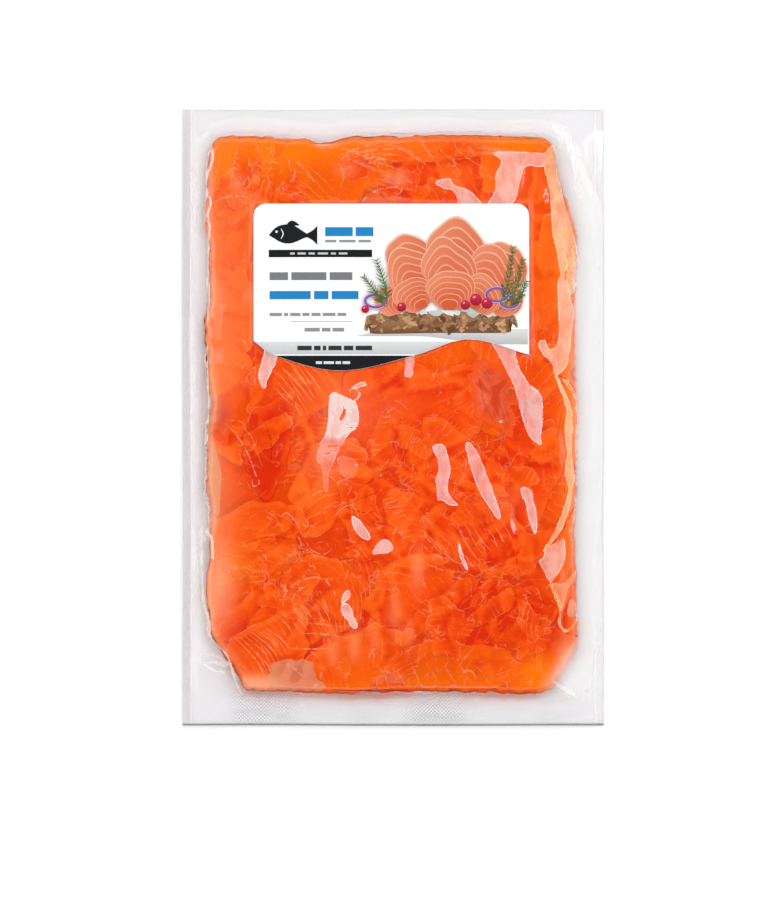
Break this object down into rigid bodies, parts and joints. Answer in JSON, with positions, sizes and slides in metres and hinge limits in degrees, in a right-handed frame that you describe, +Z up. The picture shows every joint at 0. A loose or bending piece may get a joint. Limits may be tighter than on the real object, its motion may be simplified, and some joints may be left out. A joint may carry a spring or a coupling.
{
  "type": "pack of smoked salmon",
  "caption": "Flat vacuum pack of smoked salmon slices: a clear sealed bag drawn tight over an uneven slab, with wide film margins and a die-cut paper label on top.",
  "frame": {"origin": "under the middle of the bag, on the surface that the pack lies on", "axes": "+X across the bag towards the right of the label, +Y along the bag towards the edge nearest the label, +Z up out of the labelled side"},
  "size_m": [0.206, 0.301, 0.0126],
  "materials": {
    "film": "clear glossy vacuum-bag film, drawn tight",
    "salmon": "moist smoked salmon flesh, orange to orange-red with fine pale lines",
    "belly": "pale, translucent fat and trimmings of the belly",
    "label_paper": "white coated label paper with a flat print"
  },
  "bodies": {
    "root": {"pouch": "salmon", "label": "label_paper"}
  },
  "joints": []
}
